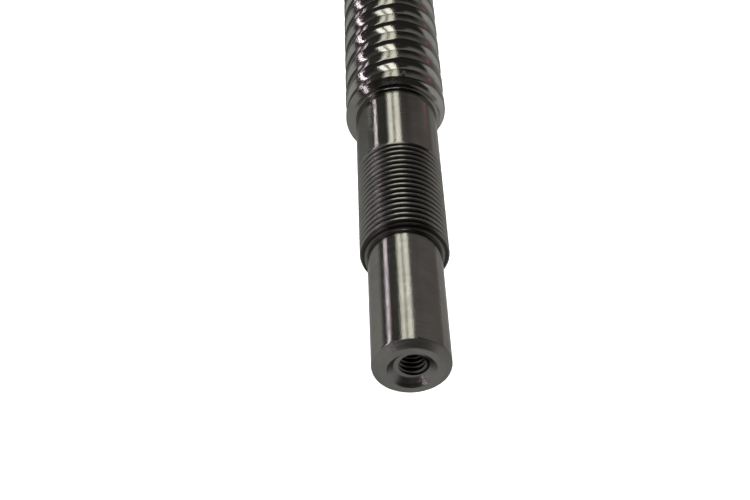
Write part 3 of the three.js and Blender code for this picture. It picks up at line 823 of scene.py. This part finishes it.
def retaining_ring(end, at):
    """A flat spring ring, open at the bottom, with a notch near each end for a pick"""
    soft = 0.06
    inner, outer = RING_INNER_R + soft, RING_OUTER_R - soft
    gap = RING_GAP_HALF_ANGLE + soft / inner
    bottom = -math.pi / 2
    loop = []
    for angle in np.linspace(bottom + gap + 0.03, bottom - gap - 0.03 + TAU, 120):
        loop.append((outer * math.cos(angle), outer * math.sin(angle)))
    for turn in (-1, 1):
        angle = bottom + turn * gap
        mids = [outer - 0.3, inner + 0.3]
        for r in (mids if turn < 0 else mids[::-1]):
            loop.append((r * math.cos(angle), r * math.sin(angle)))
        if turn < 0:
            arc = np.linspace(bottom - gap - 0.03 + TAU, bottom + gap + 0.03, 160)
            for along in arc:
                notch = 0.0
                for centre in (bottom - gap - 0.1 + TAU, bottom + gap + 0.1):
                    reach = 1 - ((along - centre) * inner / 0.42) ** 2
                    notch = max(notch, 0.5 * math.sqrt(max(reach, 0)))
                r = inner + notch
                loop.append((r * math.cos(along), r * math.sin(along)))
    curve = bpy.data.curves.new("ring_outline", "CURVE")
    curve.dimensions = "2D"
    curve.fill_mode = "BOTH"
    curve.extrude = (RING_WIDTH / 2 - soft) * MM
    curve.bevel_depth = soft * MM
    curve.bevel_resolution = 2
    spline = curve.splines.new("POLY")
    spline.points.add(len(loop) - 1)
    spline.points.foreach_set("co", np.array([(x * MM, z * MM, 0, 1) for x, z in loop]).ravel())
    spline.use_cyclic_u = True
    outline = bpy.data.objects.new("ring_outline", curve)
    bpy.context.scene.collection.objects.link(outline)
    depsgraph = bpy.context.evaluated_depsgraph_get()
    mesh = bpy.data.meshes.new_from_object(outline.evaluated_get(depsgraph))
    bpy.data.objects.remove(outline)
    upright = Matrix.Rotation(math.pi / 2, 4, "X")
    mesh.transform(Matrix.Translation(Vector((0, y_at(at + RING_WIDTH / 2), 0))) @ upright)
    mesh.materials.clear()
    mesh.materials.append(PHOSPHATED)
    bm = bmesh.new()
    bm.from_mesh(mesh)
    bmesh.ops.remove_doubles(bm, verts=bm.verts, dist=0.001 * MM)
    piece = mesh_piece(f"retaining_ring_{end}_fine", bm, [PHOSPHATED])
    bpy.data.meshes.remove(mesh)
    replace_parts(shade(piece, 35), f"retaining_ring_{end}")
    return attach(piece, "ring_carrier")


def lube_plug():
    """A socket set screw in the lubrication port"""
    def hexagon(across_flats, rounding=0.0):
        return lambda angle: min(
            across_flats / 2 / math.cos((angle + math.pi / 6) % (math.pi / 3) - math.pi / 6),
            across_flats / math.sqrt(3) - rounding,
        )

    length = PLUG_LENGTH
    rows = [(0.01, 0), (PLUG_R - 0.45, 0), (PLUG_R - 0.3, 0.3)]
    height = 0.5
    while height < length - 0.6:
        rows += [(PLUG_R - 0.3, height), (PLUG_R, height + 0.22)]
        rows += [(PLUG_R, height + 0.3), (PLUG_R - 0.3, height + 0.52)]
        height += 0.62
    rows += [(PLUG_R, length - 0.28), (PLUG_R - 0.05, length - 0.14), (PLUG_R - 0.25, length)]
    rows += [(SOCKET / math.sqrt(3) + 0.06, length), (hexagon(SOCKET + 0.1, 0.06), length - 0.2)]
    rows += [(hexagon(SOCKET, 0.06), length - 0.3), (hexagon(SOCKET, 0.06), length - SOCKET_DEPTH)]
    rows += [(SOCKET / 2 - 0.1, length - SOCKET_DEPTH), (0.01, length - SOCKET_DEPTH - 0.6)]
    foot = FLAT_HEIGHT - PLUG_RECESS - length
    at = standing(0, (NUT_FROM + FLANGE_TO) / 2, foot, (0, 0, 1))
    piece = stacked("lube_plug_fine", round_rows(rows, 72), [BLACK_OXIDE], at)
    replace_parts(shade(piece, 30), "lube_plug")
    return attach(piece, "nut")


screw_shaft()
nut_body()
for number in range(CIRCUITS):
    deflector(number)
    balls(number)
RING_INSET = RING_GROOVE_FROM + (RING_GROOVE_WIDTH - RING_WIDTH) / 2
wiper("flange_side", NUT_FROM + WIPER_FROM)
wiper("barrel_side", NUT_TO - WIPER_FROM - WIPER_WIDTH)
retaining_ring("flange_side", NUT_FROM + RING_INSET)
retaining_ring("barrel_side", NUT_TO - RING_INSET - RING_WIDTH)
lube_plug()


# ---------------------------------------------------------------- studio
def aimed(obj, target):
    """Turns a light so that it shines towards a point"""
    obj.rotation_euler = (Vector(target) - obj.location).to_track_quat("-Z", "Y").to_euler()


def area_light(name, place, target, size, watts, color=(1, 1, 1), glossy=True):
    """A rectangular light of that size in metres, shining down if it has no target"""
    data = bpy.data.lights.new(name, "AREA")
    data.shape = "RECTANGLE"
    data.size, data.size_y = size
    data.energy = watts
    data.color = color
    light = bpy.data.objects.new(name, data)
    bpy.context.scene.collection.objects.link(light)
    light.location = place
    if target is not None:
        aimed(light, target)
    light.visible_camera = False
    light.visible_glossy = glossy
    return light


def overhead_tube(name, degrees, width, radiance, color, height=1.0, near=-0.5, far=2.4):
    """A long soft light that runs beside the screw's direction, seen from the axis at that angle from the
    top towards +X, and shining at the axis. width is the angle that it spans, in degrees."""
    angle = math.radians(degrees)
    reach = height / math.cos(angle) if abs(degrees) < 60 else height
    across = 2 * reach * math.tan(math.radians(width / 2))
    length = far - near
    place = Vector((reach * math.sin(angle), DRIVE_FACE_Y + (near + far) / 2, reach * math.cos(angle)))
    watts = radiance * math.pi * across * length
    light = area_light(name, place, None, (across, length), watts, color)
    light.rotation_euler = (0, angle, 0)
    return light


def panel(name, place, size, radiance, color):
    """A small soft light at that place from the drive face, in metres, shining at the screw"""
    place = Vector(place) + Vector((0, DRIVE_FACE_Y, 0))
    area_light(name, place, (0, y_at(SHOULDER), 0), size, radiance * math.pi * size[0] * size[1], color)


def backdrop(radius, height=3, sides=96):
    """A plain white wall round the stage. Only the camera sees it, so the metal still reflects the room."""
    angles = np.linspace(0, TAU, sides, endpoint=False)
    ring = [(radius * math.cos(angle), radius * math.sin(angle)) for angle in angles]
    points = [(x, y, z) for z in (0, height) for x, y in ring]
    walls = [(i, (i + 1) % sides, (i + 1) % sides + sides, i + sides) for i in range(sides)]
    mesh = bpy.data.meshes.new("backdrop")
    mesh.from_pydata(points, [], walls)
    white = Nodes("white_backdrop")
    white.shader.inputs["Base Color"].default_value = (0, 0, 0, 1)
    white.shader.inputs["Emission Color"].default_value = (1, 1, 1, 1)
    white.shader.inputs["Emission Strength"].default_value = 1
    mesh.materials.append(white.material)
    wall = bpy.data.objects.new("backdrop", mesh)
    bpy.context.scene.collection.objects.link(wall)
    wall.location.z = FLOOR_Z
    wall.visible_diffuse = False
    wall.visible_glossy = False
    wall.visible_shadow = False


def studio():
    floor_mesh = bpy.data.meshes.new("floor")
    half = 6
    corners = [(-half, -half, 0), (half, -half, 0), (half, half, 0), (-half, half, 0)]
    floor_mesh.from_pydata(corners, [], [(0, 1, 2, 3)])
    floor = bpy.data.objects.new("floor", floor_mesh)
    bpy.context.scene.collection.objects.link(floor)
    floor.location.z = FLOOR_Z
    pale = Nodes("pale_floor")
    pale.shader.inputs["Base Color"].default_value = (0.86, 0.86, 0.86, 1)
    pale.shader.inputs["Roughness"].default_value = 0.9
    pale.shader.inputs["Specular IOR Level"].default_value = 0.1
    floor_mesh.materials.append(pale.material)
    backdrop(2.6)

    overhead_tube("tube_left", -18.9, 12.2, 2.2, (1, 1, 0.9))
    overhead_tube("tube_right", -0.1, 14.2, 2.2, (1, 1, 0.9))
    overhead_tube("tube_lilac", -64, 1.7, 12, (1, 0.88, 0.99), near=-1.2, far=1.5)
    panel("window_lilac", (-0.66, 1.06, 0), (0.05, 0.14), 5, (1, 0.88, 0.99))
    panel("sign_red", (0.9, 1.0, -0.36), (0.35, 0.1), 0.16, (1, 0.13, 0.16))
    panel("lamp_red", (0.6, 0.93, -0.02), (0.07, 0.07), 1.3, (1, 0.1, 0.13))
    area_light("ceiling", (0, 0, 2.2), (0, 0, 0), (5, 5), 330, glossy=False)
    floor.visible_glossy = False
    room()


def room():
    """What the metal reflects: a mid grey below the horizon, darker walls with a light foot behind the
    drive end, and a dark ceiling. The greys go by the direction in the world, not by the view."""
    world = bpy.data.worlds.new("room")
    bpy.context.scene.world = world
    world.use_nodes = True
    tree = world.node_tree
    background = tree.nodes["Background"]
    direction = tree.nodes.new("ShaderNodeTexCoord")
    split = tree.nodes.new("ShaderNodeSeparateXYZ")
    tree.links.new(direction.outputs["Generated"], split.inputs[0])
    x, y, z = split.outputs

    def spread(value, low, high):
        node = tree.nodes.new("ShaderNodeMapRange")
        node.interpolation_type = "SMOOTHSTEP"
        tree.links.new(value, node.inputs["Value"])
        node.inputs["From Min"].default_value = low
        node.inputs["From Max"].default_value = high
        return node.outputs["Result"]

    def mix(share, first, second):
        node = tree.nodes.new("ShaderNodeMix")
        node.data_type = "RGBA"
        tree.links.new(share, node.inputs["Factor"])
        for socket, value in ((node.inputs["A"], first), (node.inputs["B"], second)):
            if isinstance(value, tuple):
                socket.default_value = (*value, 1)
            else:
                tree.links.new(value, socket)
        return node.outputs["Result"]

    tilt = tree.nodes.new("ShaderNodeVectorMath")
    tilt.operation = "DOT_PRODUCT"
    tree.links.new(direction.outputs["Generated"], tilt.inputs[0])
    tilt.inputs[1].default_value = (0.17, 0, 1)
    dark = (0.03, 0.028, 0.026)
    grey = (0.235, 0.22, 0.218)
    left = mix(spread(x, -0.5, -0.05), (0.08, 0.078, 0.07), dark)
    right = mix(spread(y, 0.8, 0.825), grey, mix(spread(z, 0.06, 0.22), grey, dark))
    walls = mix(spread(x, 0.12, 0.45), left, right)
    beam = mix(spread(x, -0.1, 0.3), (0.09, 0.088, 0.08), (0.215, 0.205, 0.2))
    ceiling = mix(spread(z, 0.76, 0.84), mix(spread(z, 0.53, 0.6), walls, beam), dark)
    back_wall = mix(spread(z, 0.08, 0.24), (0.5, 0.49, 0.48), dark)
    behind = mix(spread(y, -0.2, 0.3), back_wall, ceiling)
    shaded = mix(spread(x, -0.1, 0.25), (0.1, 0.1, 0.1), (0.4, 0.4, 0.39))
    ground = mix(spread(y, 0.73, 0.84), (0.5, 0.5, 0.49), shaded)
    everything = mix(spread(tilt.outputs["Value"], -0.13, -0.04), ground, behind)
    tree.links.new(everything, background.inputs["Color"])


def camera():
    """Looks down past the drive end, along the screw"""
    data = bpy.data.cameras.new("camera")
    data.sensor_width = 36
    data.lens = CAMERA_LENS
    data.clip_start = 0.005
    view = bpy.data.objects.new("camera", data)
    bpy.context.scene.collection.objects.link(view)
    view.location = Vector(CAMERA_PLACE) * MM + Vector((0, DRIVE_FACE_Y, 0))
    view.rotation_euler = (math.radians(CAMERA_PITCH), 0, math.radians(CAMERA_YAW))
    bpy.context.scene.camera = view


camera()
studio()
bpy.context.scene.view_settings.view_transform = "Standard"
